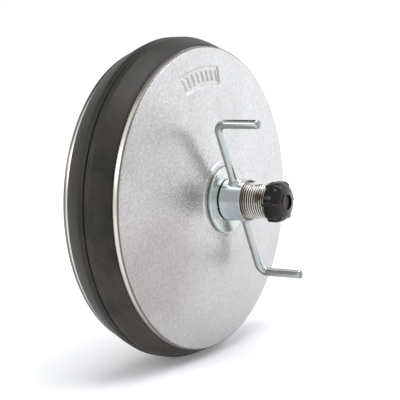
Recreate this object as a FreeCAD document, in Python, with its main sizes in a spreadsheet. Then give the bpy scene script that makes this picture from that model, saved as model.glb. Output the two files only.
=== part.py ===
# Pipe expansion plug: two cast aluminium plates squeeze a rubber ring against the
# wall of a pipe when a long nut is turned on a threaded, hollow stem.
# Millimetres. Z is the stem's axis, upwards to the cap, and zero is the rear nut's face.

import FreeCAD, Part
import math
import os
import Sketcher

# Driving dimensions
DIMENSIONS = {
    # Stem: one-inch pipe thread outside, open bore inside
    "stem_radius": 16.62,
    "stem_wall": 3.82,
    "stem_end_chamfer": 1.2,
    "stem_recess": 0.6,
    "free_thread": 24.1,
    # Clearances
    "thread_clearance": 0.06,
    "plate_clearance": 0.35,
    "soft_gap": 0.3,
    # Cast plates
    "plate_radius": 141.0,
    "plate_depth": 24.5,
    "rim_height": 4.6,
    "rim_round": 0.5,
    "rim_land": 0.7,
    "rim_step": 0.7,
    "crown_bulge": 1.4,
    "boss_radius": 35.5,
    "boss_rise": 0.7,
    "plate_wall": 6.2,
    "inner_boss_radius": 28.0,
    "inner_boss_reach": 2.0,
    "seat_drop": 4.0,
    "seat_width": 24.0,
    "spigot_reach": 14.0,
    "spigot_wall": 6.5,
    "rib_thickness": 5.0,
    "rib_setback": 4.0,
    "rib_count": 8,
    # Size panel cast into the front plate
    "panel_inset": 18.5,
    "panel_width": 16.5,
    "panel_depth": 1.1,
    "panel_span": 30.5,
    "panel_heading": 209.5,
    "mark_margin": 3.0,
    "mark_width": 1.5,
    "mark_relief": 0.9,
    "mark_count": 8,
    # Rubber ring
    "ring_gap": 48.4,
    "ring_stand_out": 9.2,
    "ring_edge_stand_out": 2.0,
    "ring_edge_lift": 0.8,
    "ring_bulge": 0.5,
    "ring_land": 5.4,
    "ring_groove_width": 1.8,
    "ring_groove_depth": 1.8,
    # Washers and gasket
    "washer_radius": 31.0,
    "washer_thickness": 3.4,
    "washer_bevel": 0.8,
    "gasket_radius": 27.0,
    "gasket_thickness": 2.5,
    # Long nut with its handle
    "hub_wall": 2.52,
    "hub_height": 22.9,
    "hub_bevel": 1.0,
    "collar_step": 1.3,
    "collar_height": 1.0,
    "handle_bar_radius": 4.1,
    "handle_height": 11.8,
    "handle_reach": 80.0,
    "handle_bend_radius": 8.5,
    "handle_rise": 43.0,
    "handle_end_bevel": 0.7,
    "handle_heading": 32.5,
    "weld_length": 3.4,
    "weld_width": 2.4,
    # Rear and inner nuts
    "rear_nut_flats": 46.0,
    "rear_nut_height": 13.0,
    "inner_nut_height": 9.0,
    "nut_corner_bevel": 1.0,
    # Screw cap
    "cap_wall": 1.42,
    "cap_height": 15.4,
    "cap_engagement": 8.4,
    "cap_shoulder": 11.3,
    "cap_face_radius": 9.2,
    "cap_face_drop": 1.2,
    "cap_disc_radius": 7.2,
    "cap_disc_rise": 0.7,
    "cap_rib_width": 2.2,
    "cap_rib_relief": 1.3,
    "cap_rib_heading": 281.0,
    "cap_rib_count": 6,
    "seal_thickness": 2.0,
}

doc = FreeCAD.newDocument("expansion_plug")


class Size:
    """A length: its value now, and the expression that ties it to the sheet."""

    def __init__(self, value, text=None):
        self.value = float(value)
        self.text = str(value) if text is None else text

    def __add__(self, other):
        other = as_size(other)
        return Size(self.value + other.value, f"({self.text} + {other.text})")

    def __sub__(self, other):
        other = as_size(other)
        return Size(self.value - other.value, f"({self.text} - {other.text})")

    def __mul__(self, other):
        other = as_size(other)
        return Size(self.value * other.value, f"({self.text} * {other.text})")

    def __truediv__(self, other):
        other = as_size(other)
        return Size(self.value / other.value, f"({self.text} / {other.text})")


def as_size(number):
    """A plain number as a size that nothing drives."""
    return number if isinstance(number, Size) else Size(number)


def write_sheet():
    """Puts every driving dimension in the sheet, each with its name as alias."""
    sheet = doc.addObject("Spreadsheet::Sheet", "Sizes")
    for row, (name, value) in enumerate(DIMENSIONS.items(), start=1):
        sheet.set(f"A{row}", name)
        sheet.set(f"B{row}", str(value))
        sheet.setAlias(f"B{row}", name)
    doc.recompute()
    return {name: Size(value, f"Sizes.{name}") for name, value in DIMENSIONS.items()}


size = write_sheet()


def origin_feature(body, role):
    """The body's own origin plane or axis of that role."""
    return [item for item in body.Origin.OriginFeatures if item.Role == role][0]


def new_sketch(body, name, plane):
    """An empty sketch on one of the body's origin planes."""
    sketch = body.newObject("Sketcher::SketchObject", name)
    sketch.AttachmentSupport = (origin_feature(body, plane), [""])
    sketch.MapMode = "FlatFace"
    return sketch


def bow_radius(dx, dy, bulge):
    """Radius of the arc over a chord that stands out from it by the bulge."""
    return (dx * dx + dy * dy) / (bulge * 8) + bulge / 2


def quarter_bow(radius):
    """Bulge of a quarter turn of that radius over its chord."""
    return radius * (Size(1) - Size(0.5 ** 0.5, "sqrt(0.5)"))


def side_between(start, end, bulge):
    """Straight side, or an arc that bows to the right of its way by the bulge."""
    a = FreeCAD.Vector(start[0].value, start[1].value, 0)
    b = FreeCAD.Vector(end[0].value, end[1].value, 0)
    if bulge is None:
        return Part.LineSegment(a, b)
    radius = bow_radius(end[0] - start[0], end[1] - start[1], bulge).value
    along = (b - a).normalize()
    inward = FreeCAD.Vector(-along.y, along.x, 0)
    centre = (a + b) * 0.5 + inward * (radius - bulge.value)
    circle = Part.Circle(centre, FreeCAD.Vector(0, 0, 1), radius)
    first = math.atan2(a.y - centre.y, a.x - centre.x)
    last = math.atan2(b.y - centre.y, b.x - centre.x)
    return Part.ArcOfCircle(circle, first, last)


def tie(sketch, constraint, text):
    """Adds a constraint and binds its value to an expression."""
    index = sketch.addConstraint(constraint)
    sketch.setExpression(f"Constraints[{index}]", text)


def hold_point(sketch, side, end, across, up):
    """Holds one end of a side at its place; a plain zero puts it on the axis."""
    if across.text == "0":
        sketch.addConstraint(Sketcher.Constraint("PointOnObject", side, end, -2))
    else:
        tie(sketch, Sketcher.Constraint("DistanceX", -1, 1, side, end, across.value), across.text)
    if up.text == "0":
        sketch.addConstraint(Sketcher.Constraint("PointOnObject", side, end, -1))
    else:
        tie(sketch, Sketcher.Constraint("DistanceY", -1, 1, side, end, up.value), up.text)


def draw(sketch, corners, closed=True):
    """Draws sides through the corners, counter-clockwise where the outline is closed.
    A corner is (across, up), or (across, up, bulge) to bow the side that follows."""
    corners = [(as_size(c[0]), as_size(c[1]), c[2] if len(c) > 2 else None) for c in corners]
    last = len(corners) - 1
    for i in range(len(corners) if closed else last):
        following = corners[(i + 1) % len(corners)]
        bulge = corners[i][2]
        sketch.addGeometry(side_between(corners[i], following, bulge), False)
        if bulge is not None:
            radius = bow_radius(following[0] - corners[i][0], following[1] - corners[i][1], bulge)
            tie(sketch, Sketcher.Constraint("Radius", i, radius.value), radius.text)
        if i > 0:
            sketch.addConstraint(Sketcher.Constraint("Coincident", i - 1, 2, i, 1))
    if closed:
        sketch.addConstraint(Sketcher.Constraint("Coincident", last, 2, 0, 1))
    else:
        hold_point(sketch, last - 1, 2, corners[last][0], corners[last][1])
    for i in range(len(corners) if closed else last):
        hold_point(sketch, i, 1, corners[i][0], corners[i][1])


def draw_circle(sketch, radius):
    """Draws a circle round the sketch's origin."""
    centre = FreeCAD.Vector(0, 0, 0)
    index = sketch.addGeometry(Part.Circle(centre, FreeCAD.Vector(0, 0, 1), radius.value), False)
    sketch.addConstraint(Sketcher.Constraint("Coincident", index, 3, -1, 1))
    tie(sketch, Sketcher.Constraint("Radius", index, radius.value), radius.text)


def revolve(body, name, corners, kind="PartDesign::Revolution", span=None):
    """Turns an outline about the stem's axis, the whole way or through a span of degrees."""
    sketch = new_sketch(body, name + "_outline", "XZ_Plane")
    draw(sketch, corners)
    turned = body.newObject(kind, name)
    turned.Profile = sketch
    turned.ReferenceAxis = (sketch, ["V_Axis"])
    turned.Angle = 360
    if span is not None:
        turned.setExpression("Angle", span.text)
    return turned


def add_blades(body, name, corners, thickness, count, total=None, lead=None):
    """Pads an upright outline to a thin blade and repeats it round the axis."""
    sketch = new_sketch(body, name + "_outline", "XZ_Plane")
    if lead is not None:
        turn = FreeCAD.Rotation(FreeCAD.Vector(0, 1, 0), lead.value)
        sketch.AttachmentOffset = FreeCAD.Placement(FreeCAD.Vector(0, 0, 0), turn)
        sketch.setExpression("AttachmentOffset.Rotation.Angle", lead.text)
    draw(sketch, corners)
    blade = body.newObject("PartDesign::Pad", name)
    blade.Profile = sketch
    blade.SideType = "Symmetric"
    blade.setExpression("Length", thickness.text)
    doc.recompute()
    pattern = body.newObject("PartDesign::PolarPattern", name + "_pattern")
    pattern.Originals = [blade]
    pattern.Axis = (origin_feature(body, "Z_Axis"), [""])
    pattern.Angle = 360
    if total is not None:
        pattern.setExpression("Angle", total.text)
    pattern.setExpression("Occurrences", count.text)
    body.Tip = pattern


def new_body(label):
    """An empty body of that name."""
    body = doc.addObject("PartDesign::Body", label)
    body.Label = label
    return body


def raise_to(body, height):
    """Moves a body up the stem's axis."""
    body.setExpression("Placement.Base.z", height.text)


def turn_to(body, axis, heading):
    """Turns a body about an axis by a heading in degrees."""
    body.Placement = FreeCAD.Placement(body.Placement.Base, FreeCAD.Rotation(axis, heading.value))
    body.setExpression("Placement.Rotation.Angle", heading.text)


# Heights up the stem's axis
rear_washer_base = size["rear_nut_height"]
rear_gasket_base = rear_washer_base + size["washer_thickness"]
rear_plate_base = rear_gasket_base + size["gasket_thickness"]
rear_rim = rear_plate_base + size["plate_depth"]
front_rim = rear_rim + size["ring_gap"]
thrust_washer_base = front_rim + size["plate_depth"]
hub_base = thrust_washer_base + size["washer_thickness"]
cap_base = hub_base + size["hub_height"] + size["free_thread"]
stem_top = cap_base + size["cap_engagement"]

thread_bore_radius = size["stem_radius"] + size["thread_clearance"]
plate_bore_radius = size["stem_radius"] + size["plate_clearance"]
stem_bore_radius = size["stem_radius"] - size["stem_wall"]
hub_radius = thread_bore_radius + size["hub_wall"]
cap_radius = thread_bore_radius + size["cap_wall"]
spigot_radius = size["plate_radius"] - size["seat_width"]

# Outer cone of a plate, from the foot of its boss to the land at its rim
cone_foot_radius = size["boss_radius"] + size["boss_rise"]
cone_end_radius = size["plate_radius"] - size["rim_round"] - size["rim_land"]
land_height = size["plate_depth"] - size["rim_height"] - size["rim_round"]
cone_end_height = land_height - size["rim_step"]
cone_slope = (cone_end_height - size["boss_rise"]) / (cone_end_radius - cone_foot_radius)


def outer_cone_height(radius):
    """Height of the crowned cone at a radius, from the boss's seat."""
    part_way = (radius - cone_foot_radius) / (cone_end_radius - cone_foot_radius)
    bow = size["crown_bulge"] * 4 * part_way * (Size(1) - part_way)
    return size["boss_rise"] + cone_slope * (radius - cone_foot_radius) - bow


def inner_cone_height(radius):
    """Height of the straight inner cone, one wall above the outer one."""
    return size["boss_rise"] + size["plate_wall"] + cone_slope * (radius - cone_foot_radius)


def build_plate(label):
    """Cast plate, boss down: crowned cone, turned rim, cone seat and spigot for the ring,
    and ribs on its inner side."""
    body = new_body(label)
    spigot_inner = spigot_radius - size["spigot_wall"]
    rim_plane = size["plate_depth"]
    spigot_end = rim_plane + size["spigot_reach"]
    inner_boss_end = rim_plane + size["inner_boss_reach"]
    revolve(body, label + "_casting", [
        (plate_bore_radius, 0),
        (size["boss_radius"], 0, quarter_bow(size["boss_rise"])),
        (cone_foot_radius, size["boss_rise"], size["crown_bulge"]),
        (cone_end_radius, cone_end_height),
        (cone_end_radius, land_height),
        (size["plate_radius"] - size["rim_round"], land_height, quarter_bow(size["rim_round"])),
        (size["plate_radius"], land_height + size["rim_round"]),
        (size["plate_radius"], rim_plane),
        (spigot_radius, rim_plane + size["seat_drop"]),
        (spigot_radius, spigot_end),
        (spigot_inner, spigot_end),
        (spigot_inner, inner_cone_height(spigot_inner)),
        (size["inner_boss_radius"], inner_cone_height(size["inner_boss_radius"])),
        (size["inner_boss_radius"], inner_boss_end),
        (plate_bore_radius, inner_boss_end),
    ])
    root = size["plate_wall"] / 2
    rib_start = size["inner_boss_radius"] - 2
    rib_end = spigot_inner + size["spigot_wall"] / 2
    add_blades(body, label + "_rib", [
        (rib_start, inner_cone_height(rib_start) - root),
        (rib_end, inner_cone_height(rib_end) - root),
        (rib_end, spigot_end - size["rib_setback"]),
        (rib_start, inner_boss_end - size["rib_setback"]),
    ], size["rib_thickness"], size["rib_count"])
    return body


def build_front_plate():
    """Front plate, turned over, with a sunk panel that holds plain raised graduation bars."""
    body = build_plate("front_plate")
    outer = size["plate_radius"] - size["panel_inset"]
    inner = outer - size["panel_width"]
    depth = size["panel_depth"]
    revolve(body, "size_panel", [
        (inner, outer_cone_height(inner) - depth),
        (outer, outer_cone_height(outer) - depth),
        (outer, outer_cone_height(outer) + depth),
        (inner, outer_cone_height(inner) + depth),
    ], kind="PartDesign::Groove", span=size["panel_span"])
    bar_inner = inner + size["mark_margin"]
    bar_outer = outer - size["mark_margin"]
    pitch = size["panel_span"] / size["mark_count"]
    top = depth - size["mark_relief"]
    add_blades(body, "graduation", [
        (bar_inner, outer_cone_height(bar_inner) + top),
        (bar_outer, outer_cone_height(bar_outer) + top),
        (bar_outer, outer_cone_height(bar_outer) + depth * 2),
        (bar_inner, outer_cone_height(bar_inner) + depth * 2),
    ], size["mark_width"], size["mark_count"], total=size["panel_span"] - pitch, lead=pitch / 2)
    over = FreeCAD.Rotation(FreeCAD.Vector(1, 0, 0), 180)
    spin = FreeCAD.Rotation(FreeCAD.Vector(0, 0, 1), size["panel_heading"].value)
    body.Placement = FreeCAD.Placement(FreeCAD.Vector(0, 0, 0), spin.multiply(over))
    raise_to(body, thrust_washer_base)


def build_ring():
    """Rubber ring between the plates: two crowned bands that meet in a fine groove."""
    body = new_body("sealing_ring")
    gap = size["soft_gap"]
    width = size["ring_gap"]
    middle = width / 2
    half_groove = size["ring_groove_width"] / 2
    inner = spigot_radius + gap
    edge_radius = size["plate_radius"] + size["ring_edge_stand_out"]
    land_radius = size["plate_radius"] + size["ring_stand_out"]
    lift = gap + size["ring_edge_lift"]
    drop = gap + size["seat_drop"]
    revolve(body, "ring_section", [
        (inner, drop),
        (size["plate_radius"], gap),
        (edge_radius, lift, size["ring_bulge"]),
        (land_radius, middle - half_groove - size["ring_land"]),
        (land_radius, middle - half_groove),
        (land_radius - size["ring_groove_depth"], middle),
        (land_radius, middle + half_groove),
        (land_radius, middle + half_groove + size["ring_land"], size["ring_bulge"]),
        (edge_radius, width - lift),
        (size["plate_radius"], width - gap),
        (inner, width - drop),
    ])
    raise_to(body, rear_rim)


def build_stem():
    """Hollow stem with bevelled ends."""
    body = new_body("stem_tube")
    length = stem_top - size["stem_recess"]
    bevel = size["stem_end_chamfer"]
    revolve(body, "stem_section", [
        (stem_bore_radius, 0),
        (size["stem_radius"] - bevel, 0),
        (size["stem_radius"], bevel),
        (size["stem_radius"], length - bevel),
        (size["stem_radius"] - bevel, length),
        (stem_bore_radius, length),
    ])
    raise_to(body, size["stem_recess"])


def build_washer(label, base):
    """Flat steel washer with a bevel on both rims."""
    body = new_body(label)
    bevel = size["washer_bevel"]
    revolve(body, label + "_section", [
        (plate_bore_radius, 0),
        (size["washer_radius"] - bevel, 0),
        (size["washer_radius"], bevel),
        (size["washer_radius"], size["washer_thickness"] - bevel),
        (size["washer_radius"] - bevel, size["washer_thickness"]),
        (plate_bore_radius, size["washer_thickness"]),
    ])
    raise_to(body, base)


def build_disc(label, radius, bore, thickness, base):
    """Flat rubber gasket: a ring, or a whole disc where it has no bore."""
    body = new_body(label)
    sketch = new_sketch(body, label + "_outline", "XY_Plane")
    draw_circle(sketch, radius)
    if bore is not None:
        draw_circle(sketch, bore)
    pad = body.newObject("PartDesign::Pad", label + "_sheet")
    pad.Profile = sketch
    pad.setExpression("Length", thickness.text)
    raise_to(body, base)


def build_hex_nut(label, height, base):
    """Hexagon nut on the stem's thread, its corners turned off at both ends."""
    body = new_body(label)
    corner_radius = size["rear_nut_flats"] / Size(3 ** 0.5, "sqrt(3)")
    prism = body.newObject("PartDesign::AdditivePrism", label + "_hexagon")
    prism.Polygon = 6
    prism.setExpression("Circumradius", corner_radius.text)
    prism.setExpression("Height", height.text)
    bore = body.newObject("PartDesign::SubtractiveCylinder", label + "_bore")
    bore.setExpression("Radius", thread_bore_radius.text)
    bore.setExpression("Height", height.text)
    bevel = size["nut_corner_bevel"]
    face_radius = size["rear_nut_flats"] / 2 - bevel
    beyond = corner_radius + bevel
    fall = (beyond - face_radius) / Size(3 ** 0.5, "sqrt(3)")
    revolve(body, label + "_lower_bevel", [
        (face_radius, 0),
        (beyond, 0),
        (beyond, fall),
    ], kind="PartDesign::Groove")
    revolve(body, label + "_upper_bevel", [
        (face_radius, height),
        (beyond, height - fall),
        (beyond, height),
    ], kind="PartDesign::Groove")
    raise_to(body, base)


def build_hub():
    """Long round nut that stands on the thrust washer on a small turned collar."""
    body = new_body("nut_hub")
    bevel = size["hub_bevel"]
    collar_radius = hub_radius - size["collar_step"]
    revolve(body, "hub_section", [
        (thread_bore_radius, 0),
        (collar_radius, 0),
        (collar_radius, size["collar_height"]),
        (hub_radius, size["collar_height"]),
        (hub_radius, size["hub_height"] - bevel),
        (hub_radius - bevel, size["hub_height"]),
        (thread_bore_radius, size["hub_height"]),
    ])
    raise_to(body, hub_base)


def build_handle_arm(label, heading):
    """Round bar, welded to the hub at one end and bent up at the other.
    It is built along X, at the height of its own centre line."""
    body = new_body(label)
    bar = size["handle_bar_radius"]
    bend = size["handle_bend_radius"]
    root = hub_radius * 0.8

    weld = new_sketch(body, label + "_weld_outline", "XZ_Plane")
    weld_end = hub_radius + size["weld_length"]
    draw(weld, [
        (root, 0),
        (weld_end, 0),
        (weld_end, bar),
        (hub_radius, bar + size["weld_width"]),
        (root, bar + size["weld_width"]),
    ])
    bead = body.newObject("PartDesign::Revolution", label + "_weld")
    bead.Profile = weld
    bead.ReferenceAxis = (weld, ["H_Axis"])
    bead.Angle = 360

    route = new_sketch(body, label + "_route", "XZ_Plane")
    draw(route, [
        (root, 0),
        (size["handle_reach"] - bend, 0, quarter_bow(bend)),
        (size["handle_reach"], bend),
        (size["handle_reach"], size["handle_rise"]),
    ], closed=False)
    section = new_sketch(body, label + "_section", "YZ_Plane")
    section.setExpression("AttachmentOffset.Base.z", root.text)
    draw_circle(section, bar)
    doc.recompute()
    sweep = body.newObject("PartDesign::AdditivePipe", label + "_bar")
    sweep.Profile = section
    sweep.Spine = (route, ["Edge1", "Edge2", "Edge3"])
    doc.recompute()

    top = size["handle_rise"].value
    ends = [f"Edge{i}" for i, edge in enumerate(sweep.Shape.Edges, start=1)
            if all(abs(vertex.Z - top) < 1e-6 for vertex in edge.Vertexes)
            and edge.BoundBox.ZLength < 1e-6]
    bevel = body.newObject("PartDesign::Chamfer", label + "_end_bevel")
    bevel.Base = (sweep, ends)
    bevel.setExpression("Size", size["handle_end_bevel"].text)

    cope = new_sketch(body, label + "_cope_outline", "XY_Plane")
    draw_circle(cope, hub_radius)
    cut = body.newObject("PartDesign::Pocket", label + "_cope")
    cut.Profile = cope
    cut.Type = "ThroughAll"
    cut.SideType = "Symmetric"
    raise_to(body, hub_base + size["handle_height"])
    turn_to(body, FreeCAD.Vector(0, 0, 1), heading)


def build_cap():
    """Moulded screw cap: skirt over the thread, sloped shoulder, and grip ribs that run
    up its side and over the shoulder to a round face."""
    body = new_body("screw_cap")
    ceiling = size["cap_engagement"] + size["seal_thickness"]
    face_height = size["cap_height"] - size["cap_disc_rise"]
    face_edge = face_height - size["cap_face_drop"]
    revolve(body, "cap_section", [
        (0, ceiling),
        (thread_bore_radius, ceiling),
        (thread_bore_radius, 0),
        (cap_radius, 0),
        (cap_radius, size["cap_shoulder"], size["cap_disc_rise"]),
        (size["cap_face_radius"], face_edge),
        (size["cap_disc_radius"], face_edge),
        (size["cap_disc_radius"], size["cap_height"]),
        (0, size["cap_height"]),
    ])
    relief = size["cap_rib_relief"]
    root = (cap_radius - thread_bore_radius) / 2
    add_blades(body, "grip_rib", [
        (cap_radius - root, 0),
        (cap_radius + relief, 0),
        (cap_radius + relief, size["cap_shoulder"], size["cap_disc_rise"]),
        (size["cap_face_radius"], face_edge + relief),
        (size["cap_disc_radius"] - root, face_edge + relief),
        (size["cap_disc_radius"] - root, face_edge - root),
        (cap_radius - root, size["cap_shoulder"] - root / 2),
    ], size["cap_rib_width"], size["cap_rib_count"])
    raise_to(body, cap_base)
    turn_to(body, FreeCAD.Vector(0, 0, 1), size["cap_rib_heading"])


def check_and_write():
    """Stops at any failed object, then writes each body to its own file."""
    doc.recompute()
    for item in doc.Objects:
        if "Invalid" in item.State or "Error" in item.State:
            raise RuntimeError(f"{item.Label} failed to build")
    bodies = [item for item in doc.Objects if item.TypeId == "PartDesign::Body"]
    for body in bodies:
        if body.Shape.isNull() or not body.Shape.isValid():
            raise RuntimeError(f"{body.Label} has no valid shape")
        if len(body.Shape.Solids) != 1:
            raise RuntimeError(f"{body.Label} is not one solid")
    os.makedirs("parts", exist_ok=True)
    for body in bodies:
        body.Shape.exportStep(f"parts/{body.Label}.step")
        print(body.Label, round(body.Shape.Volume / 1000, 2), "cm3")


build_hex_nut("rear_nut", size["rear_nut_height"], Size(0))
build_washer("rear_washer", rear_washer_base)
build_disc("rear_gasket", size["gasket_radius"], plate_bore_radius, size["gasket_thickness"],
           rear_gasket_base)
rear_plate = build_plate("rear_plate")
raise_to(rear_plate, rear_plate_base)
build_hex_nut("inner_nut", size["inner_nut_height"], rear_rim + size["inner_boss_reach"])
build_stem()
build_ring()
build_front_plate()
build_washer("thrust_washer", thrust_washer_base)
build_hub()
build_handle_arm("upper_handle_arm", size["handle_heading"] + 180)
build_handle_arm("lower_handle_arm", size["handle_heading"])
build_disc("cap_gasket", size["stem_radius"] - size["soft_gap"], None, size["seal_thickness"], stem_top)
build_cap()
check_and_write()
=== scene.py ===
import bpy
import numpy as np
from mathutils import Matrix, Vector


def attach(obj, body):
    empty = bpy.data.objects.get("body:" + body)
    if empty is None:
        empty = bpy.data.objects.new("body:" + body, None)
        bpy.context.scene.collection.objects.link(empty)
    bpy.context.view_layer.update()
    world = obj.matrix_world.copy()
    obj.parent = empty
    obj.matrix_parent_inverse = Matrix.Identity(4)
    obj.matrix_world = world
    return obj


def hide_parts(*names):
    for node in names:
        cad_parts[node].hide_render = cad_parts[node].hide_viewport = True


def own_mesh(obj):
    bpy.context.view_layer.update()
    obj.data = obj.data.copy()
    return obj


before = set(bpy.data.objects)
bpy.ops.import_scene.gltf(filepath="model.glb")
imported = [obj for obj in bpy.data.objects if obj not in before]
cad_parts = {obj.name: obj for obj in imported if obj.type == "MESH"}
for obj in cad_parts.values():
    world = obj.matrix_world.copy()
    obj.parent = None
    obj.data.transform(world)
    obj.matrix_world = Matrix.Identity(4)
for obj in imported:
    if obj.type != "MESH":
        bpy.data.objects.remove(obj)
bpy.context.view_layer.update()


# Studio: a white floor under the edge of the plug's ring, as the plug stands there like a
# wheel. A large soft lamp hangs above it and a weaker one to its right, two small ones and a
# grey card give its polished metal and its cap their lights and darks, and the camera looks
# down its stem from the side.

def linear(hex_colour):
    """Linear colour of an sRGB hex value: dark channels are divided by 12.92, the others
    are raised to the power 2.4 after an offset."""
    srgb = np.array([int(hex_colour[i:i + 2], 16) for i in (1, 3, 5)]) / 255
    channels = np.where(srgb <= 0.04045, srgb / 12.92, ((srgb + 0.055) / 1.055) ** 2.4)
    return (*channels.tolist(), 1.0)


def add_node(tree, kind, inputs=None, **settings):
    """Adds a node, applies its settings, and links or sets each named input."""
    node = tree.nodes.new(kind)
    for setting, value in settings.items():
        setattr(node, setting, value)
    for socket, value in (inputs or {}).items():
        if isinstance(value, bpy.types.NodeSocket):
            tree.links.new(value, node.inputs[socket])
        else:
            node.inputs[socket].default_value = value
    return node


def seen_directly(tree):
    """One for rays from the camera, and for those that a mirror or a glass sends on."""
    path = add_node(tree, "ShaderNodeLightPath")
    mirror = add_node(tree, "ShaderNodeMath",
                      {0: path.outputs["Is Camera Ray"], 1: path.outputs["Is Glossy Ray"]},
                      operation="MAXIMUM")
    return add_node(tree, "ShaderNodeMath",
                    {0: mirror.outputs[0], 1: path.outputs["Is Transmission Ray"]},
                    operation="MAXIMUM").outputs[0]


world = bpy.data.worlds.new("white_studio")
bpy.context.scene.world = world
world.use_nodes = True
sky = world.node_tree
sky.nodes.clear()
ambient = add_node(sky, "ShaderNodeBackground", {"Color": linear("#f4f6fa"), "Strength": 0.55})
backdrop = add_node(sky, "ShaderNodeBackground", {"Color": linear("#ffffff"), "Strength": 1.0})
sky_mix = add_node(sky, "ShaderNodeMixShader",
                   {0: seen_directly(sky), 1: ambient.outputs[0], 2: backdrop.outputs[0]})
add_node(sky, "ShaderNodeOutputWorld", {"Surface": sky_mix.outputs[0]})

# The floor touches the ring's edge at this heading round the stem
REST_HEADING = np.radians(8.5)
FLOOR_DROP, FLOOR_REACH = 0.1503, 8.0
down = np.array([np.cos(REST_HEADING), np.sin(REST_HEADING), 0.0])
along = np.array([-down[1], down[0], 0.0])
corners = np.array([(-1, -1), (-1, 1), (1, 1), (1, -1)]) * FLOOR_REACH
floor_mesh = bpy.data.meshes.new("studio_floor")
floor_mesh.from_pydata(down * FLOOR_DROP + corners[:, :1] * along + corners[:, 1:] * [0, 0, 1], [],
                       [(0, 1, 2, 3)])
floor = bpy.data.objects.new("studio_floor", floor_mesh)
bpy.context.collection.objects.link(floor)

# Matt white paper. Seen from its underside it is clear, so that a view from below shows the plug.
paper = bpy.data.materials.new("matt_white_paper")
paper.use_nodes = True
sheet = paper.node_tree
sheet.nodes.clear()
lit = add_node(sheet, "ShaderNodeBsdfDiffuse", {"Color": linear("#fafafa")})
spot = add_node(sheet, "ShaderNodeTexCoord")
# Near the plug it glows faintly, so that the shadow stays, and brighter up to 1 m away
away = add_node(sheet, "ShaderNodeVectorMath", {0: spot.outputs["Object"]}, operation="LENGTH")
far = add_node(sheet, "ShaderNodeMapRange",
               {"Value": away.outputs["Value"], 1: 0.165, 2: 1.0, 3: 0.16, 4: 0.55})
lift = add_node(sheet, "ShaderNodeMath",
                {0: seen_directly(sheet), 1: far.outputs[0]}, operation="MULTIPLY")
glow = add_node(sheet, "ShaderNodeEmission", {"Color": linear("#ffffff"), "Strength": lift.outputs[0]})
front = add_node(sheet, "ShaderNodeAddShader", {0: lit.outputs[0], 1: glow.outputs[0]})
clear = add_node(sheet, "ShaderNodeBsdfTransparent")
side = add_node(sheet, "ShaderNodeNewGeometry")
paper_mix = add_node(sheet, "ShaderNodeMixShader",
                     {0: side.outputs["Backfacing"], 1: front.outputs[0], 2: clear.outputs[0]})
add_node(sheet, "ShaderNodeOutputMaterial", {"Surface": paper_mix.outputs[0]})
floor_mesh.materials.append(paper)


def add_softbox(name, place, aim, width, watts, hex_colour):
    """Square area lamp at a place, turned to face its aim."""
    lamp = bpy.data.lights.new(name, "AREA")
    lamp.size = width
    lamp.energy = watts
    lamp.color = linear(hex_colour)[:3]
    holder = bpy.data.objects.new(name, lamp)
    holder.location = place
    holder.rotation_euler = (Vector(aim) - Vector(place)).to_track_quat("-Z", "Y").to_euler()
    bpy.context.collection.objects.link(holder)


PLUG_CENTRE = (0.0, 0.0, 0.09)
add_softbox("overhead_softbox", (-1.45, -0.25, 0.3), PLUG_CENTRE, 1.2, 15, "#ffffff")
add_softbox("upper_right_softbox", (-0.72, 1.28, 0.80), PLUG_CENTRE, 1.7, 7.5, "#f2f7ff")
add_softbox("left_softbox", (-0.42, -1.10, -0.60), PLUG_CENTRE, 0.42, 1.8, "#ffffff")
add_softbox("small_softbox", (-1.02, 0.46, 1.05), PLUG_CENTRE, 0.45, 5.0, "#efeaff")

# A grey card behind the overhead lamp, which only polished metal shows, as a dark edge line
card_paint = bpy.data.materials.new("matt_grey_card")
card_paint.use_nodes = True
card_shader = card_paint.node_tree.nodes["Principled BSDF"]
card_shader.inputs["Base Color"].default_value = linear("#4c4e50")
card_shader.inputs["Roughness"].default_value = 0.9
CARD_PLACE, CARD_WIDTH, CARD_HEIGHT = Vector((-1.15, 0.20, -0.62)), 1.3, 0.7
card_mesh = bpy.data.meshes.new("upper_card")
card_facing = (Vector(PLUG_CENTRE) - CARD_PLACE).normalized()
card_across = card_facing.cross(Vector((-1, 0, 0))).normalized()
card_upwards = card_across.cross(card_facing)
card_corners = []
for a, b in ((-1, -1), (1, -1), (1, 1), (-1, 1)):
    card_corners.append(CARD_PLACE + card_across * CARD_WIDTH * a / 2
                        + card_upwards * CARD_HEIGHT * b / 2)
card_mesh.from_pydata(card_corners, [], [(0, 1, 2, 3)])
card_mesh.materials.append(card_paint)
card = bpy.data.objects.new("upper_card", card_mesh)
bpy.context.collection.objects.link(card)
card.visible_camera = card.visible_diffuse = card.visible_shadow = False

# Camera, fitted to the outlines of the plates
camera_data = bpy.data.cameras.new("camera")
camera_data.sensor_width = 36.0
camera_data.lens = 121.1
camera_data.clip_start = 0.05
camera_data.clip_end = 30.0
camera = bpy.data.objects.new("camera", camera_data)
forward = Vector((0.0230, 0.8362, -0.5480)).normalized()
right = forward.cross(Vector((-0.9991, 0.0, -0.0419))).normalized()
camera.matrix_world = Matrix.Translation((-0.0270, -1.0517, 0.7772)) @ Matrix(
    (right, right.cross(forward), -forward)).transposed().to_4x4()
bpy.context.collection.objects.link(camera)
bpy.context.scene.camera = camera
bpy.context.scene.view_settings.view_transform = "Standard"


# Cast plates: two shot-blasted aluminium castings, each a shallow crowned cone with a flat
# boss for the washer and a turned rim. The front one faces the stem's free end and has a
# sunk panel with plain bars; the rear one is the same casting turned round.

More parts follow.
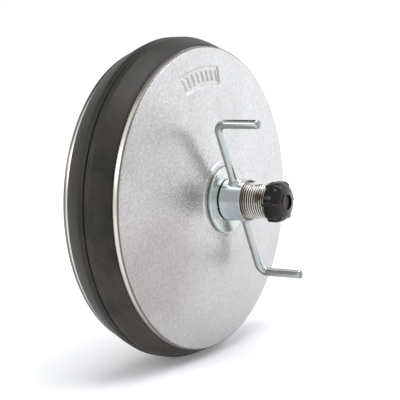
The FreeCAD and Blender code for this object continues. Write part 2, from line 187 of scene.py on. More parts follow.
def corner_path(corners, steps=5):
    """Outline through corners (across, up, radius): a corner with a radius becomes an arc
    that touches both of its sides."""
    places = np.array([corner[:2] for corner in corners], float)
    radii = [corner[2] if len(corner) > 2 else 0.0 for corner in corners]
    outline = []
    befores, afters = np.roll(places, 1, 0), np.roll(places, -1, 0)
    for before, here, after, radius in zip(befores, places, afters, radii):
        if radius == 0.0:
            outline.append(here[None])
            continue
        back, on = before - here, after - here
        back_length, on_length = np.hypot(*back), np.hypot(*on)
        back, on = back / back_length, on / on_length
        half = np.arccos(np.clip(back @ on, -1, 1)) / 2
        reach = min(radius / np.tan(half), 0.45 * back_length, 0.45 * on_length)
        fitted = reach * np.tan(half)
        centre = here + (back + on) / np.linalg.norm(back + on) * fitted / np.sin(half)
        first, last = here + back * reach - centre, here + on * reach - centre
        turn = np.pi - 2 * half
        share = np.linspace(0, 1, steps)[:, None]
        spread = np.sin((1 - share) * turn) * first + np.sin(share * turn) * last
        outline.append(centre + spread / np.sin(turn))
    return np.concatenate(outline)


def fill_in(outline, longest):
    """Adds evenly spaced points on each side of a closed outline longer than the longest."""
    step = np.roll(outline, -1, 0) - outline
    count = np.maximum(1, np.ceil(np.hypot(*step.T) / longest).astype(int))
    side = np.repeat(np.arange(len(outline)), count)
    within = np.arange(len(side)) - np.repeat(np.cumsum(count) - count, count)
    return outline[side] + step[side] * (within / count[side])[:, None]


def skin(name, grid, loop=True):
    """Closed surface through a grid of points in metres: its columns run round and join up.
    Its rows join up too where loop is set, else both ends are closed with a fan."""
    rows, columns = grid.shape[:2]
    index = np.arange(rows * columns).reshape(rows, columns)
    lower = index if loop else index[:-1]
    upper = np.roll(index, -1, 0) if loop else index[1:]
    quads = np.stack([lower, np.roll(lower, -1, 1), np.roll(upper, -1, 1), upper], -1).reshape(-1, 4)
    points = grid.reshape(-1, 3)
    faces = quads.tolist()
    if not loop:
        points = np.concatenate([points, grid[:1].mean(1), grid[-1:].mean(1)])
        start, end = index[0], index[-1]
        faces += np.stack([np.full(columns, rows * columns), np.roll(start, -1), start], -1).tolist()
        faces += np.stack([np.full(columns, rows * columns + 1), end, np.roll(end, -1)], -1).tolist()
    mesh = bpy.data.meshes.new(name)
    mesh.from_pydata(points, [], faces)
    mesh.shade_smooth()
    piece = bpy.data.objects.new(name, mesh)
    bpy.context.collection.objects.link(piece)
    return piece


def turned(outline, angles):
    """Grid of an outline (radius, height) in millimetres turned about the stem's axis:
    radius times cosine and sine of each angle."""
    radius, height = outline[:, :1], outline[:, 1:]
    height = np.broadcast_to(height, (len(outline), len(angles)))
    return np.stack([radius * np.cos(angles), radius * np.sin(angles), height], -1) / 1000


def new_material(name, **sockets):
    """Material with one Principled shader and its plain values."""
    material = bpy.data.materials.new(name)
    material.use_nodes = True
    shader = material.node_tree.nodes["Principled BSDF"]
    for socket, value in sockets.items():
        shader.inputs[socket.replace("_", " ")].default_value = value
    return material, material.node_tree, shader


def finish_piece(piece, material, slot, body, *nodes):
    """Gives a piece its material, the body it rides on and the nodes it stands for; its slot is not
    used.
    """
    piece.data.materials.append(material)
    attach(piece, body)
    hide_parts(*nodes)


# Shot-blasted aluminium casting: the shot leaves dimples, drawn 2.4 mm wide so that they show,
# which sparkle, and the alloy's skin is a little darker in clouds some 34 mm wide. A noise
# texture's scale is 1000 over the width of its blobs in millimetres.
cast_aluminium, tree, shader = new_material("shot_blasted_cast_aluminium", Metallic=1.0)
place = add_node(tree, "ShaderNodeTexCoord").outputs["Object"]
clouds = add_node(tree, "ShaderNodeTexNoise", {"Vector": place, "Scale": 1000 / 34.0, "Detail": 4.0,
                                               "Roughness": 0.6}).outputs["Fac"]
dimples = add_node(tree, "ShaderNodeTexNoise", {"Vector": place, "Scale": 1000 / 2.4, "Detail": 3.0,
                                                "Roughness": 0.7}).outputs["Fac"]
grain = add_node(tree, "ShaderNodeTexNoise", {"Vector": place, "Scale": 1000 / 2.6, "Detail": 3.0,
                                              "Roughness": 0.75}).outputs["Fac"]
cloud_colour = add_node(tree, "ShaderNodeMix",
                        {"Factor": clouds, 6: linear("#a8a6a4"), 7: linear("#bdbdbc")},
                        data_type="RGBA")
grain_colour = add_node(tree, "ShaderNodeMapRange", {"Value": grain, 1: 0.3, 2: 0.7, 3: 0.84, 4: 1.12})
speck_colour = add_node(tree, "ShaderNodeMix",
                        {"Factor": 1.0, 6: cloud_colour.outputs[2], 7: grain_colour.outputs[0]},
                        data_type="RGBA", blend_type="MULTIPLY")
# Painted reflection: the front casting's skin is painted darker and warmer in one broad patch
from_painted_reflection = add_node(tree, "ShaderNodeVectorMath",
                      {0: place, 1: (0.064, -0.092, 0.104)}, operation="DISTANCE")
painted_reflection = add_node(tree, "ShaderNodeMapRange", {"Value": from_painted_reflection.outputs["Value"], 1: 0.02, 2: 0.085},
                 interpolation_type="SMOOTHSTEP")
painted_reflection_colour = add_node(tree, "ShaderNodeMix",
                        {"Factor": painted_reflection.outputs[0], 6: linear("#e3dddc"), 7: linear("#ffffff")},
                        data_type="RGBA")
skin_and_reflection_colour = add_node(tree, "ShaderNodeMix",
                       {"Factor": 1.0, 6: speck_colour.outputs[2], 7: painted_reflection_colour.outputs[2]},
                       data_type="RGBA", blend_type="MULTIPLY")
# The rim's side is turned bright in the lathe, up to a painted dark shadow line at its corner
flat = add_node(tree, "ShaderNodeVectorMath", {0: place, 1: (1.0, 1.0, 0.0)}, operation="MULTIPLY")
reach = add_node(tree, "ShaderNodeVectorMath",
                 {0: flat.outputs[0]}, operation="LENGTH").outputs["Value"]
rim = add_node(tree, "ShaderNodeMapRange", {"Value": reach, 1: 0.1395, 2: 0.1399}).outputs[0]
tall = add_node(tree, "ShaderNodeSeparateXYZ", {0: place}).outputs["Z"]
from_middle = add_node(tree, "ShaderNodeMath", {0: tall, 1: 0.0676}, operation="SUBTRACT").outputs[0]
from_middle = add_node(tree, "ShaderNodeMath", {0: from_middle}, operation="ABSOLUTE").outputs[0]
# On the rear plate the painted dark shadow line comes further in over the rim
rear = add_node(tree, "ShaderNodeMapRange",
                {"Value": tall, 1: 0.05, 2: 0.06, 3: 0.0022, 4: 0.0}).outputs[0]
inward = add_node(tree, "ShaderNodeMath", {0: from_middle, 1: rear}, operation="ADD").outputs[0]
corner = add_node(tree, "ShaderNodeMapRange", {"Value": inward, 1: 0.0284, 2: 0.0289}).outputs[0]
turned_and_shade_line_colour = add_node(tree, "ShaderNodeMix",
                         {"Factor": corner, 6: linear("#cfcbc6"), 7: linear("#79736e")},
                         data_type="RGBA")
rim_colour = add_node(tree, "ShaderNodeMix",
                      {"Factor": rim, 6: skin_and_reflection_colour.outputs[2], 7: turned_and_shade_line_colour.outputs[2]},
                      data_type="RGBA")
rim_finish = add_node(tree, "ShaderNodeMapRange", {"Value": rim, 3: 0.27, 4: 0.3})
rim_smooth = add_node(tree, "ShaderNodeMapRange", {"Value": rim, 3: 0.7, 4: 0.0})
tree.links.new(rim_colour.outputs[2], shader.inputs["Base Color"])
tree.links.new(rim_finish.outputs[0], shader.inputs["Roughness"])
dimple_bump = add_node(tree, "ShaderNodeBump",
                       {"Height": dimples, "Strength": rim_smooth.outputs[0], "Distance": 0.0005})
tree.links.new(dimple_bump.outputs[0], shader.inputs["Normal"])

# Millimetres, from the boss's seat to the rim
PLATE_RADIUS, PLATE_DEPTH, REAR_SEAT, FRONT_SEAT = 141.0, 24.5, 18.9, 116.3
SHAFT_BORE, SPIGOT_INNER, SPIGOT_OUTER = 16.97, 110.5, 117.0
CONE_FOOT, CONE_END = (36.2, 0.7), (139.8, 18.7)
CROWN = 1.4
share = np.linspace(0, 1, 40)
bow = 4 * CROWN * share * (1 - share)
cone = np.stack([CONE_FOOT[0] + share * (CONE_END[0] - CONE_FOOT[0]),
                 CONE_FOOT[1] + share * (CONE_END[1] - CONE_FOOT[1]) - bow], -1)
plate_outline = fill_in(corner_path([
    (SHAFT_BORE, 0.0, 0.4), (35.5, 0.0, 1.0), *cone[:-1].tolist(), (*CONE_END, 0.2),
    (139.8, 19.4, 0.2), (PLATE_RADIUS, 19.4, 0.6), (PLATE_RADIUS, PLATE_DEPTH, 0.4),
    (SPIGOT_OUTER, 28.5, 0.5), (SPIGOT_OUTER, 38.5, 0.5), (SPIGOT_INNER, 38.5, 0.5),
    (SPIGOT_INNER, 19.81, 2.0),
    (28.0, 5.48, 2.0), (28.0, 26.5, 0.5), (SHAFT_BORE, 26.5, 0.5)]), 3.0)

rear_angles = np.linspace(0, 2 * np.pi, 360, endpoint=False)
rear_plate = skin("rear_plate_casting", turned(plate_outline + [0, REAR_SEAT], rear_angles))
finish_piece(rear_plate, cast_aluminium, "cast_aluminium", "core", "rear_plate")

# The front plate is turned over, with the panel sunk in it and bars standing in the panel
PANEL_START, PANEL_SPAN = 179.0, 30.5
PANEL_INNER, PANEL_OUTER, PANEL_DEPTH = 106.0, 122.5, 1.1
BAR_COUNT, BAR_WIDTH, BAR_RELIEF, BAR_MARGIN = 8, 1.5, 0.9, 3.0
# Near the panel only the front skin lies less than this deep
SKIN_DEPTH = 18.0


def wall(distance, width=0.5):
    """Rises from nought to one as the distance goes through zero, eased over a width."""
    part = np.clip(distance / width + 0.5, 0, 1)
    return part * part * (3 - 2 * part)


coarse = np.radians(np.arange(0, 360, 1.5))
fine = np.radians(np.arange(PANEL_START - 1, PANEL_START + PANEL_SPAN + 1, 0.14))
beside_panel = (coarse < fine[0] - 0.005) | (coarse > fine[-1] + 0.005)
front_angles = np.sort(np.concatenate([coarse[beside_panel], fine]))
outline_radius, outline_depth = plate_outline.T
on_cone = (outline_radius > PANEL_INNER - 3) & (outline_radius < PANEL_OUTER + 3)
first, last = np.flatnonzero(on_cone & (outline_depth < SKIN_DEPTH))[[0, -1]]
dense_radius = np.arange(PANEL_INNER - 2, PANEL_OUTER + 2, 0.5)
dense_height = np.interp(dense_radius, cone[:, 0], cone[:, 1])
front_outline = np.concatenate([plate_outline[:first], np.stack([dense_radius, dense_height], -1),
                                plate_outline[last + 1:]])
front_grid = turned(front_outline, front_angles)
radius, turn = np.meshgrid(front_outline[:, 0], np.degrees(front_angles), indexing="ij")
arc = np.radians(turn - PANEL_START) * radius
span = np.radians(PANEL_SPAN) * radius
sunk = wall(radius - PANEL_INNER) * wall(PANEL_OUTER - radius) * wall(arc) * wall(span - arc)
pitch = span / BAR_COUNT
off_bar = np.abs((arc / pitch) % 1 - 0.5) * pitch
raised = (wall(BAR_WIDTH / 2 - off_bar) * wall(radius - PANEL_INNER - BAR_MARGIN)
          * wall(PANEL_OUTER - BAR_MARGIN - radius))
outside = (front_outline[:, 1] < SKIN_DEPTH)[:, None]
front_grid[..., 2] += np.where(outside, sunk * (PANEL_DEPTH - raised * BAR_RELIEF), 0) / 1000
front_grid[..., 2] = FRONT_SEAT / 1000 - front_grid[..., 2]
front_plate = skin("front_plate_casting", front_grid[::-1])
finish_piece(front_plate, cast_aluminium, "cast_aluminium", "front", "front_plate")


# Sealing ring: one moulded ring of dark rubber between the plates, as two crowned bands
# that meet in a fine groove. Its slanted sides sit on the plates, and it gets narrower
# when they close.
share = np.linspace(0, 1, 12)[1:-1]


def band(start, end, bulge):
    """Points of a side that bows outwards: the straight side plus four times the bulge
    times the share done and the share left, square to it."""
    start, end = np.array(start), np.array(end)
    along = (end - start) / np.linalg.norm(end - start)
    bow = 4 * bulge * share * (1 - share)
    line = start + share[:, None] * (end - start) + bow[:, None] * np.array([along[1], -along[0]])
    return line.tolist()


RING_BASE, RING_WIDTH, RING_INNER, RING_RADIUS = 43.4, 48.4, 117.3, 150.2
# The hidden inner corners are cut back, so that the flattened ring stays off the plates
INNER_CUT = 5.2
low, high = (143.0, 1.1), (143.0, RING_WIDTH - 1.1)
land_low, land_high = (RING_RADIUS, 17.9), (RING_RADIUS, RING_WIDTH - 17.9)
ring_outline = fill_in(corner_path([
    (RING_INNER, INNER_CUT, 0.5), (PLATE_RADIUS, 0.3, 0.4), (*low, 0.7), *band(low, land_low, 0.5),
    (*land_low, 11.0),
    (RING_RADIUS, 23.4, 0.3), (146.8, 24.2, 0.2), (RING_RADIUS, 25.0, 0.3), (*land_high, 11.0),
    *band(land_high, high, 0.5), (*high, 0.7), (PLATE_RADIUS, RING_WIDTH - 0.3, 0.4),
    (RING_INNER, RING_WIDTH - INNER_CUT, 0.5)]), 2.5)
ring_grid = turned(ring_outline + [0, RING_BASE], np.linspace(0, 2 * np.pi, 360, endpoint=False))
ring = skin("moulded_sealing_ring", ring_grid)

# Moulded rubber: dull, dark warm grey, with a fine matt skin and faint dusty patches
ring_rubber, tree, shader = new_material("moulded_black_rubber", Roughness=0.48, IOR=1.5,
                                         Specular_IOR_Level=0.3)
place = add_node(tree, "ShaderNodeTexCoord").outputs["Object"]
dust = add_node(tree, "ShaderNodeTexNoise",
                {"Vector": place, "Scale": 1000 / 34.0, "Detail": 5.0, "Roughness": 0.6}).outputs["Fac"]
dust = add_node(tree, "ShaderNodeMapRange", {"Value": dust, 1: 0.36, 2: 0.64}).outputs[0]
# The patches grow lighter on the front band and towards the edge that stands on the floor
sides = add_node(tree, "ShaderNodeSeparateXYZ", {0: place})
front_band = add_node(tree, "ShaderNodeMapRange",
                      {"Value": sides.outputs["Z"], 1: 0.066, 2: 0.074, 3: 0.3, 4: 1.0}).outputs[0]
lower_edge = add_node(tree, "ShaderNodeMapRange",
                      {"Value": sides.outputs["X"], 1: -0.13, 2: 0.08, 3: 0.2, 4: 1.5}).outputs[0]
patch_weight = add_node(tree, "ShaderNodeMath",
                      {0: front_band, 1: lower_edge}, operation="MULTIPLY").outputs[0]
dust = add_node(tree, "ShaderNodeMath", {0: dust, 1: patch_weight}, operation="MULTIPLY").outputs[0]
skin_grain = add_node(tree, "ShaderNodeTexNoise",
                      {"Vector": place, "Scale": 1000 / 1.2, "Detail": 2.0}).outputs["Fac"]
rubber_colour = add_node(tree, "ShaderNodeMix",
                         {"Factor": dust, 6: linear("#1b1a15"), 7: linear("#3b362e")},
                         data_type="RGBA")
tree.links.new(rubber_colour.outputs[2], shader.inputs["Base Color"])
grain_bump = add_node(tree, "ShaderNodeBump",
                      {"Height": skin_grain, "Strength": 0.2, "Distance": 0.0002})
tree.links.new(grain_bump.outputs[0], shader.inputs["Normal"])
finish_piece(ring, ring_rubber, "ring_rubber", "core", "sealing_ring")
# Between the plates it is 47.8 mm wide relaxed and 37.8 mm with the nut done up
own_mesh(ring)


# Stem: one-inch steel pipe, open through its whole length, with a rounded right-hand pipe
# thread cut along the part that carries the long nut and the cap.
STEM_BASE, STEM_TOP = 0.6, 175.1
STEM_RADIUS, STEM_BORE = 16.62, 12.8
THREAD_PITCH, THREAD_DEPTH = 2.309, 1.45
THREAD_START = 98.0
stem_angles = np.linspace(0, 2 * np.pi, 120, endpoint=False)
thread_heights = np.arange(THREAD_START, STEM_TOP - 0.6, THREAD_PITCH / 14)
side_radius = np.concatenate([[STEM_BORE, STEM_RADIUS - 1.2, STEM_RADIUS, STEM_RADIUS],
                              np.full(len(thread_heights), STEM_RADIUS),
                              [STEM_RADIUS - 1.3, STEM_BORE]])
side_height = np.concatenate([[STEM_BASE, STEM_BASE, STEM_BASE + 1.2, THREAD_START - 1],
                              thread_heights, [STEM_TOP, STEM_TOP]])
stem_grid = turned(np.stack([side_radius, side_height], -1), stem_angles)
height, turn = np.meshgrid(side_height, stem_angles, indexing="ij")
phase = height / THREAD_PITCH - turn / (2 * np.pi)
cut = THREAD_DEPTH * (0.5 - 0.5 * np.cos(2 * np.pi * phase))
threaded = wall(height - THREAD_START - 1.5, 3.0) * (np.abs(height - STEM_TOP) > 0.01)
stem_length_scale = 1 - cut * threaded / side_radius[:, None]
top_chamfer = np.minimum(1, (STEM_RADIUS - 1.3 + np.maximum(0, STEM_TOP - height)) / STEM_RADIUS)
on_side = ((side_height > THREAD_START) & (side_height < STEM_TOP - 0.01))[:, None]
stem_scale = np.where(on_side, np.minimum(stem_length_scale, top_chamfer), 1.0)
stem_grid[..., :2] *= stem_scale[..., None]
stem = skin("threaded_stem", stem_grid)

# Cut steel thread: crests painted bright as a highlight, and brownish oil that darkens the roots
stem_steel, tree, shader = new_material("cut_steel_thread", Metallic=1.0, Roughness=0.2)
place = add_node(tree, "ShaderNodeTexCoord").outputs["Object"]
parts = add_node(tree, "ShaderNodeSeparateXYZ", {0: place})
across = add_node(tree, "ShaderNodeVectorMath", {0: place, 1: (1.0, 1.0, 0.0)}, operation="MULTIPLY")
reach = add_node(tree, "ShaderNodeVectorMath", {0: across.outputs[0]}, operation="LENGTH")
crest_highlight = add_node(tree, "ShaderNodeMapRange", {"Value": reach.outputs["Value"], 1: 0.01520, 2: 0.01645})
oil_and_highlight_colour = add_node(tree, "ShaderNodeMix",
                        {"Factor": crest_highlight.outputs[0], 6: linear("#56534c"), 7: linear("#c8c8c3")},
                        data_type="RGBA")
# Oil browns the thread in blobs some 9 mm wide, and the thread is browner right beside the nut
oil = add_node(tree, "ShaderNodeTexNoise", {"Vector": place, "Scale": 1000 / 9.0, "Detail": 2.0})
oil_blobs = add_node(tree, "ShaderNodeMapRange",
                     {"Value": oil.outputs["Fac"], 1: 0.52, 2: 0.68}).outputs[0]
by_nut = add_node(tree, "ShaderNodeMapRange",
                  {"Value": parts.outputs["Z"], 1: 0.143, 2: 0.149, 3: 0.75, 4: 0.0}).outputs[0]
browned = add_node(tree, "ShaderNodeMath", {0: oil_blobs, 1: by_nut}, operation="MAXIMUM").outputs[0]
browned_and_highlight_colour = add_node(tree, "ShaderNodeMix",
                       {"Factor": browned, 6: oil_and_highlight_colour.outputs[2], 7: linear("#675e50")},
                       data_type="RGBA")
tree.links.new(browned_and_highlight_colour.outputs[2], shader.inputs["Base Color"])
finish_piece(stem, stem_steel, "stem_steel", "core", "stem_tube")


# Washers: two zinc-plated steel washers with turned edges, one under the long nut and one
# under the rear nut, and the two hexagon nuts, plated the same.
WASHER_RADIUS, WASHER_THICKNESS, REAR_WASHER_BASE = 31.0, 3.4, 13.0
washer_outline = fill_in(corner_path([
    (SHAFT_BORE, 0.0, 0.3), (WASHER_RADIUS - 0.8, 0.0, 0.2), (WASHER_RADIUS, 0.8, 0.3),
    (WASHER_RADIUS, WASHER_THICKNESS - 0.8, 0.3), (WASHER_RADIUS - 0.8, WASHER_THICKNESS, 0.2),
    (SHAFT_BORE, WASHER_THICKNESS, 0.3)]), 1.0)
washer_angles = np.linspace(0, 2 * np.pi, 240, endpoint=False)


def plated_steel(name, blue, yellow, bright, dull):
    """Zinc plate over steel: its colour drifts between a bluish and a yellowish grey in
    patches some 15 mm wide, and the steel's fine grain makes its mirror brighter and duller."""
    material, tree, shader = new_material(name, Metallic=1.0)
    place = add_node(tree, "ShaderNodeTexCoord").outputs["Object"]
    cast = add_node(tree, "ShaderNodeTexNoise", {"Vector": place, "Scale": 1000 / 16.0, "Detail": 3.0,
                                                 "Roughness": 0.6}).outputs["Fac"]
    colour = add_node(tree, "ShaderNodeMix",
                      {"Factor": cast, 6: linear(blue), 7: linear(yellow)}, data_type="RGBA")
    tree.links.new(colour.outputs[2], shader.inputs["Base Color"])
    grit = add_node(tree, "ShaderNodeTexNoise", {"Vector": place, "Scale": 1000 / 1.6, "Detail": 3.0,
                                                 "Roughness": 0.7}).outputs["Fac"]
    haze = add_node(tree, "ShaderNodeMapRange", {"Value": grit, 1: 0.3, 2: 0.7, 3: bright, 4: dull})
    tree.links.new(haze.outputs[0], shader.inputs["Roughness"])
    bump = add_node(tree, "ShaderNodeBump", {"Height": grit, "Strength": 0.3, "Distance": 0.0003})
    tree.links.new(bump.outputs[0], shader.inputs["Normal"])
    return material, tree, shader, colour.outputs[2]


# Barrel-plated washers and nuts: greenish grey and duller from knocking together
barrel_plate = plated_steel("barrel_plated_steel", "#a5aeac", "#c3c4bd", 0.14, 0.34)[0]

for name, base, body, node in (("thrust_washer_turned", FRONT_SEAT, "front", "thrust_washer"),
                               ("rear_washer_turned", REAR_WASHER_BASE, "core", "rear_washer")):
    washer = skin(name, turned(washer_outline + [0, base], washer_angles))
    finish_piece(washer, barrel_plate, "zinc_steel", body, node)

for node in ("rear_nut", "inner_nut"):
    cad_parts[node].material_slots[0].material = barrel_plate


# Long nut: a turned, zinc-plated steel sleeve that stands on the thrust washer on a
# smaller collar.
HUB_BASE, HUB_RADIUS, HUB_HEIGHT, THREAD_BORE, COLLAR_RADIUS = 119.7, 19.2, 22.9, 16.68, 17.9
hub_outline = fill_in(corner_path([
    (THREAD_BORE, 0.0, 0.2), (COLLAR_RADIUS, 0.0, 0.2), (COLLAR_RADIUS, 1.0, 0.15),
    (HUB_RADIUS, 1.0, 0.35),
    (HUB_RADIUS, HUB_HEIGHT - 0.6, 0.3), (HUB_RADIUS - 0.6, HUB_HEIGHT, 0.2), (18.3, HUB_HEIGHT, 0.1),
    (THREAD_BORE, HUB_HEIGHT - 2.4, 0.3)]), 1.0)
hub = skin("turned_long_nut", turned(hub_outline + [0, HUB_BASE], washer_angles))

# Zinc over turned steel: bright, with the lathe's fine lines round it, and painted shade darkens
# its upper lip to a brownish grey
turned_plate, tree, shader, hub_colour = plated_steel("turned_plated_steel", "#dde3f0", "#dbe5e2",
                                                      0.1, 0.2)
tall = add_node(tree, "ShaderNodeSeparateXYZ",
                {0: add_node(tree, "ShaderNodeTexCoord").outputs["Object"]}).outputs["Z"]
lathe = add_node(tree, "ShaderNodeTexNoise",
                 {"W": tall, "Scale": 1400.0, "Detail": 3.0}, noise_dimensions="1D")
lathe_shade = add_node(tree, "ShaderNodeMapRange",
                       {"Value": lathe.outputs["Fac"], 1: 0.3, 2: 0.7, 3: 0.86, 4: 1.0})
lined_colour = add_node(tree, "ShaderNodeMix",
                        {"Factor": 1.0, 6: hub_colour, 7: lathe_shade.outputs[0]},
                        data_type="RGBA", blend_type="MULTIPLY")
# Painted shade: the upper lip is a darker brownish grey
lip_shade = add_node(tree, "ShaderNodeMapRange", {"Value": tall, 1: 0.1419, 2: 0.1422}).outputs[0]
lip_shade_colour = add_node(tree, "ShaderNodeMix",
                      {"Factor": lip_shade, 6: lined_colour.outputs[2], 7: linear("#857f78")},
                      data_type="RGBA")
# Painted shade: the collar in the gap under the nut is painted near black
gap_shade = add_node(tree, "ShaderNodeMapRange",
               {"Value": tall, 1: 0.1206, 2: 0.1208, 3: 1.0, 4: 0.0}).outputs[0]
gap_shade_colour = add_node(tree, "ShaderNodeMix",
                      {"Factor": gap_shade, 6: lip_shade_colour.outputs[2], 7: linear("#2c2d2e")},
                      data_type="RGBA")
tree.links.new(gap_shade_colour.outputs[2], shader.inputs["Base Color"])
finish_piece(hub, turned_plate, "zinc_steel", "handle_nut", "nut_hub")


# Handle: two round steel bars, each bent up at its outer end and welded to the long nut with
# a lumpy bead all round, zinc-plated with it and sawn off at the top.
BAR_RADIUS, BAR_HEIGHT, BAR_REACH, BAR_BEND, BAR_TOP = 4.1, 131.5, 80.0, 8.5, 174.5
BAR_START, WELD_END, WELD_RELIEF, WELD_LUMPS = 17.4, 22.6, 2.4, 11


def swept_bar(name, heading):
    """Tube along a straight run, a quarter bend and an upright run: at each place on the
    path a circle stands square to it. Towards the nut its radius grows evenly by the bead's
    relief, less the lumps, which are a cosine of the angle round the bar."""
    weld = np.linspace(BAR_START, WELD_END, 14)
    run = np.concatenate([weld, np.linspace(WELD_END, BAR_REACH - BAR_BEND, 28)[1:]])
    angle = np.linspace(0, np.pi / 2, 16)[1:]
    rise = np.linspace(BAR_BEND, BAR_TOP - BAR_HEIGHT - 0.6, 16)[1:]
    across = np.concatenate([run, BAR_REACH - BAR_BEND + BAR_BEND * np.sin(angle),
                             np.full(len(rise) + 2, BAR_REACH)])
    up = np.concatenate([0 * run, BAR_BEND * (1 - np.cos(angle)), rise,
                         BAR_TOP - BAR_HEIGHT - np.array([0.2, 0.0])])
    lean = np.concatenate([0 * run, angle, np.full(len(rise) + 2, np.pi / 2)])
    width = np.full(len(across), BAR_RADIUS)
    width[-2:] -= [0.2, 0.7]
    around = np.linspace(0, 2 * np.pi, 66, endpoint=False)
    swell = np.clip((WELD_END - across) / (WELD_END - HUB_RADIUS), 0, 1)[:, None]
    lumps = 0.5 - 0.5 * np.cos(WELD_LUMPS * around + 5.0 * swell + 2.0 * np.sin(2 * around))
    width = width[:, None] + swell * (WELD_RELIEF - 0.55 * lumps)
    across, up, lean = across[:, None], up[:, None], lean[:, None]
    x = across - width * np.sin(around) * np.sin(lean)
    y = width * np.cos(around)
    z = up + width * np.sin(around) * np.cos(lean)
    turn = np.radians(heading)
    grid = np.stack([x * np.cos(turn) - y * np.sin(turn), x * np.sin(turn) + y * np.cos(turn),
                     z + BAR_HEIGHT], -1)
    return skin(name, grid[:, ::-1] / 1000, loop=False)


# Zinc over drawn bar: greyer, a little greenish, and darker grey where the bar was sawn off
bar_plate, tree, shader, bar_colour = plated_steel("plated_bar_steel", "#a1acae", "#b5b4ad", 0.1, 0.2)
tall = add_node(tree, "ShaderNodeSeparateXYZ",
                {0: add_node(tree, "ShaderNodeTexCoord").outputs["Object"]}).outputs["Z"]
sawn = add_node(tree, "ShaderNodeMapRange", {"Value": tall, 1: 0.17432, 2: 0.17442}).outputs[0]
end_colour = add_node(tree, "ShaderNodeMix",
                      {"Factor": sawn, 6: bar_colour, 7: linear("#76777b")}, data_type="RGBA")
tree.links.new(end_colour.outputs[2], shader.inputs["Base Color"])
for name, heading, node in (("upper_bent_bar", 212.5, "upper_handle_arm"),
                            ("lower_bent_bar", 32.5, "lower_handle_arm")):
    finish_piece(swept_bar(name, heading), bar_plate, "zinc_steel", "handle_nut", node)


# Screw cap: a moulded glossy black cap whose skirt runs over the stem's thread. Six narrow
# grip ribs go up its side and fade out on its round shoulder, and its middle is a small round
# face sunk in a ridge.
CAP_BASE, CAP_RADIUS, CAP_SHOULDER, CAP_HEIGHT = 166.7, 18.1, 7.6, 15.4
RIDGE_RADIUS, FACE_RADIUS, FACE_HEIGHT, CAP_CEILING = 7.9, 6.8, 12.9, 10.4
RIB_WIDTH, RIB_RELIEF, RIB_HEADING, RIB_COUNT = 2.0, 1.3, 281.0, 6
sweep = np.radians(np.linspace(0, 84, 12))
dome = np.stack([9.4 + 8.7 * np.cos(sweep), CAP_SHOULDER + 6.9 * np.sin(sweep)], -1)
cap_outline = fill_in(corner_path([
    (THREAD_BORE, 0.0, 0.2), (CAP_RADIUS, 0.0, 0.4), *dome.tolist(), (RIDGE_RADIUS, CAP_HEIGHT, 0.8),
    (FACE_RADIUS, CAP_HEIGHT, 0.4), (FACE_RADIUS - 0.1, FACE_HEIGHT, 0.2),
    (0.4, FACE_HEIGHT), (0.4, CAP_CEILING), (THREAD_BORE, CAP_CEILING, 0.3)]), 0.7)
# Ribs keep their width, so the columns beside them crowd together as the radius grows
column = np.linspace(0, 1, 20, endpoint=False)
cap_rows = len(cap_outline)
radius = np.maximum(cap_outline[:, :1], 2.0)
half_rib = np.arcsin(np.clip(RIB_WIDTH / 2 / radius, 0, 0.9))
half_cell = np.pi / RIB_COUNT
from_rib = np.abs(2 * column - 1)
edge = np.minimum(1.3 * half_rib, 0.8 * half_cell)
away = np.where(from_rib < 0.3, from_rib / 0.3 * 0.8 * half_rib,
                np.where(from_rib < 0.5, 0.8 * half_rib + (from_rib - 0.3) / 0.2 * 0.5 * half_rib,
                         edge + (from_rib - 0.5) / 0.5 * (half_cell - edge)))
sector = np.where(column < 0.5, -away, away)
cap_angles = (np.radians(RIB_HEADING) + np.arange(RIB_COUNT)[None, :, None] * 2 * half_cell
              + sector[:, None, :]).reshape(cap_rows, -1)
off_rib = np.repeat(np.abs(sector)[:, None, :], RIB_COUNT, 1).reshape(cap_rows, -1) * cap_outline[:, :1]
step = np.roll(cap_outline, -1, 0) - np.roll(cap_outline, 1, 0)
outward = np.stack([step[:, 1], -step[:, 0]], -1) / np.hypot(*step.T)[:, None]
outside = (cap_outline[:, 0] > 16.9) | (cap_outline[:, 1] > 11.0)
fade = wall(cap_outline[:, 0] - 15.5, 3.0) * outside
relief = RIB_RELIEF * wall(RIB_WIDTH / 2 - off_rib, 0.6) * fade[:, None]
cap_radius = cap_outline[:, :1] + relief * outward[:, :1]
cap_height = cap_outline[:, 1:] + relief * outward[:, 1:]
cap_grid = np.stack([cap_radius * np.cos(cap_angles), cap_radius * np.sin(cap_angles),
                     cap_height + CAP_BASE], -1) / 1000
cap = skin("moulded_screw_cap", cap_grid)

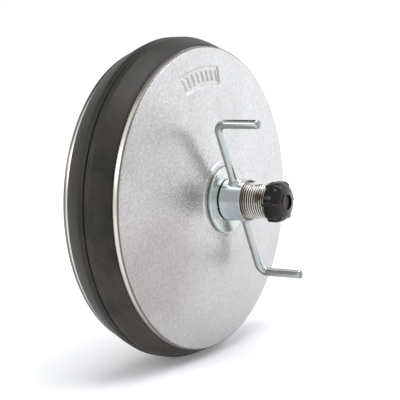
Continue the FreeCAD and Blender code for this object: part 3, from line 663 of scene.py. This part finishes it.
# Glossy moulded ABS: black with a warm brown depth, and a fine matt grain on the sunk face
cap_plastic, tree, shader = new_material("glossy_black_abs", IOR=1.5, Specular_IOR_Level=0.26)
place = add_node(tree, "ShaderNodeTexCoord").outputs["Object"]
flat = add_node(tree, "ShaderNodeVectorMath", {0: place, 1: (1.0, 1.0, 0.0)}, operation="MULTIPLY")
reach = add_node(tree, "ShaderNodeVectorMath",
                 {0: flat.outputs[0]}, operation="LENGTH").outputs["Value"]
face = add_node(tree, "ShaderNodeMapRange",
                {"Value": reach, 1: 0.0064, 2: 0.0066, 3: 1.0, 4: 0.0}).outputs[0]
face_colour = add_node(tree, "ShaderNodeMix",
                       {"Factor": face, 6: linear("#0f0b09"), 7: linear("#4a4039")},
                       data_type="RGBA")
face_finish = add_node(tree, "ShaderNodeMapRange", {"Value": face, 3: 0.12, 4: 0.4})
tree.links.new(face_colour.outputs[2], shader.inputs["Base Color"])
tree.links.new(face_finish.outputs[0], shader.inputs["Roughness"])
finish_piece(cap, cap_plastic, "cap_plastic", "cap", "screw_cap")


# Gaskets: flat sheet rubber, one in the cap against the stem's end and one under the rear
# washer. Calendered sheet is matt black, with a fine cloth-like grain and faint chalky clouds.
gasket_rubber, tree, shader = new_material("black_sheet_rubber", Roughness=0.6)
place = add_node(tree, "ShaderNodeTexCoord").outputs["Object"]
chalk = add_node(tree, "ShaderNodeTexNoise",
                 {"Vector": place, "Scale": 1000 / 8.0, "Detail": 3.0}).outputs["Fac"]
chalk_colour = add_node(tree, "ShaderNodeMix",
                        {"Factor": chalk, 6: linear("#171615"), 7: linear("#262422")},
                        data_type="RGBA")
tree.links.new(chalk_colour.outputs[2], shader.inputs["Base Color"])
weave = add_node(tree, "ShaderNodeTexNoise", {"Vector": place, "Scale": 1000 / 0.8}).outputs["Fac"]
sheet_bump = add_node(tree, "ShaderNodeBump", {"Height": weave, "Strength": 0.3, "Distance": 0.0002})
tree.links.new(sheet_bump.outputs[0], shader.inputs["Normal"])
for node in ("cap_gasket", "rear_gasket"):
    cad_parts[node].material_slots[0].material = gasket_rubber
